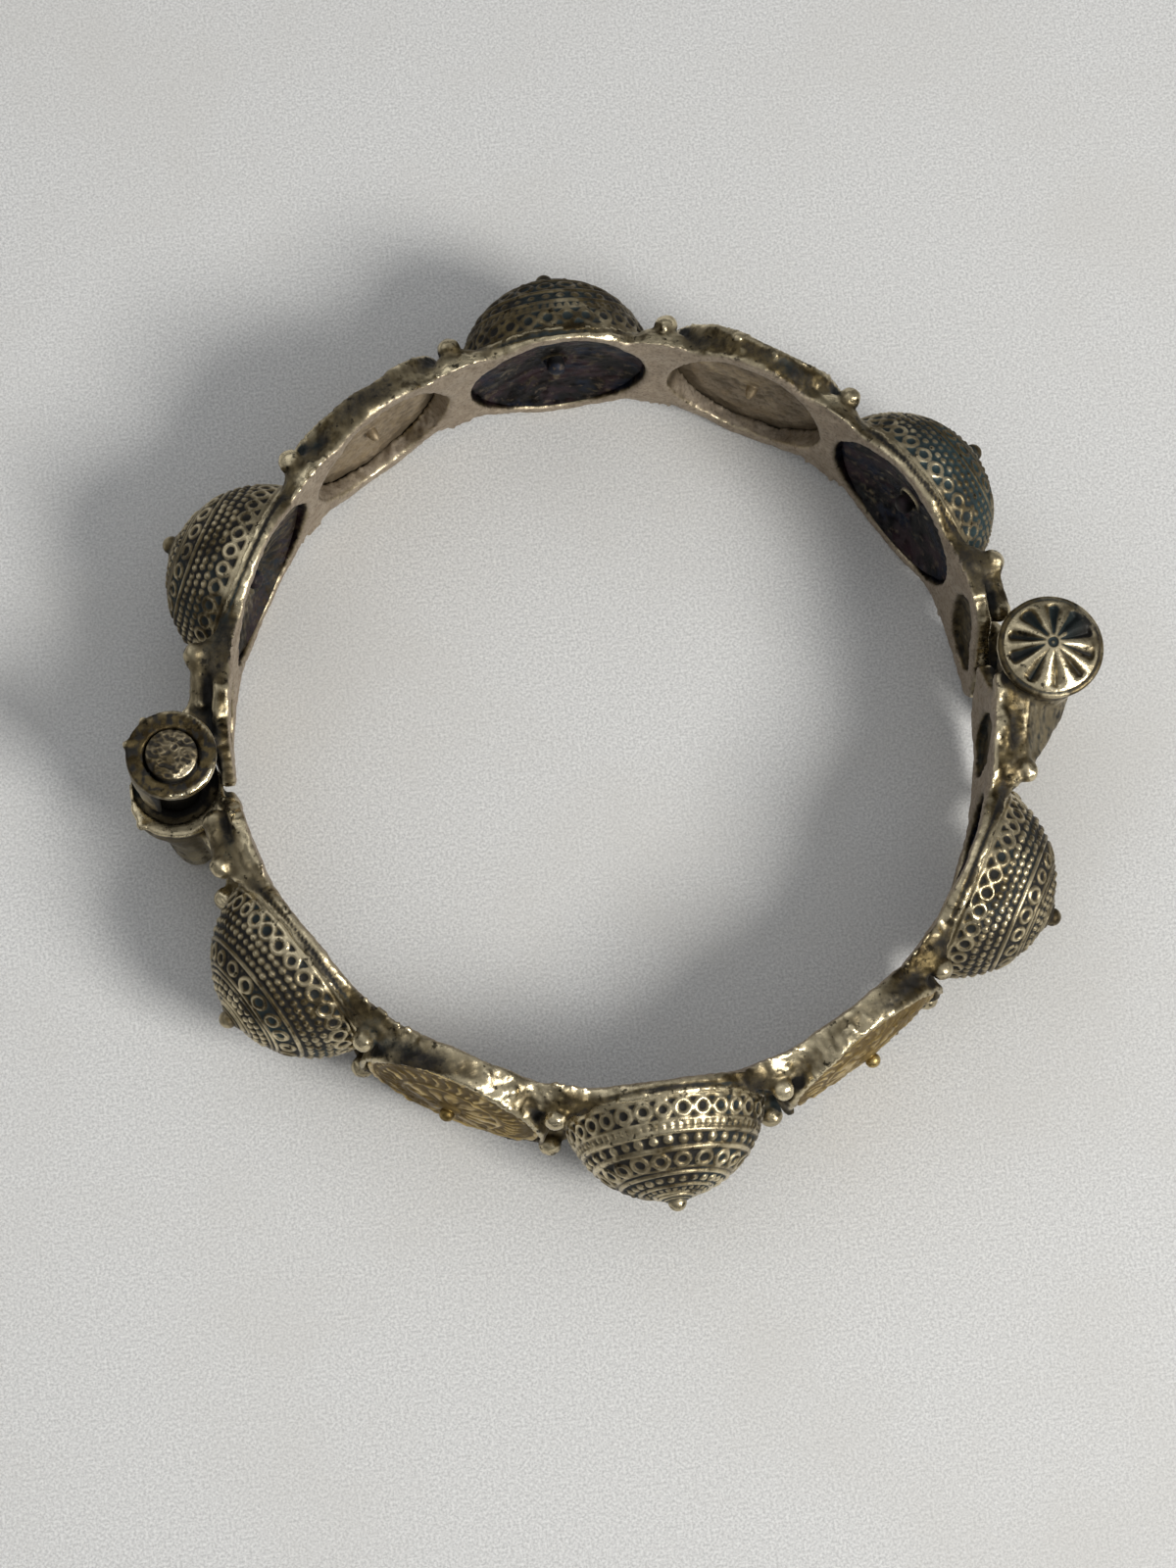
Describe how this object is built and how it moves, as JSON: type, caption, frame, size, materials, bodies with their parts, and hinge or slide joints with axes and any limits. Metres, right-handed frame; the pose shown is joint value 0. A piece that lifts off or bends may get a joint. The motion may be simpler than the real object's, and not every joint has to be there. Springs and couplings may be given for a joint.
{
  "type": "coin bangle",
  "caption": "Hinged cast silver bangle with granulated domes, bezel-set coins between them, bead pairs, a riveted hinge and a fluted clasp pin, lying on its side.",
  "frame": {"origin": "on the surface under the bangle, midway between the hinge axis and the clasp axis", "axes": "+Z along the wrist axis, up from the side the bangle lies on; +X from the hinge to the clasp; +Y towards the back half"},
  "size_m": [0.0778, 0.079, 0.0184],
  "materials": {
    "silver": "antique cast silver with a warm tone and dark patina in the recesses",
    "coin": "worn coin metal, golden, dark in the recesses",
    "pin": "rough dark rivet end"
  },
  "bodies": {
    "back_half": {"back_half": "silver", "coin_back_left": "coin", "coin_back_right": "coin"},
    "front_half": {"front_half": "silver", "coin_front_left": "coin", "coin_front_right": "coin", "hinge_pin": "pin"},
    "clasp_pin": {"clasp_pin": "silver"}
  },
  "joints": [
    {"name": "hinge", "type": "hinge", "parent": "back_half", "child": "front_half", "pos_m": [-0.0349, 0, 0], "axis": [0, 0, 1], "range_deg": [-150, 0]},
    {"name": "clasp", "type": "slide", "parent": "back_half", "child": "clasp_pin", "axis": [0, 0, 1], "range_m": [0, 0.018]}
  ]
}
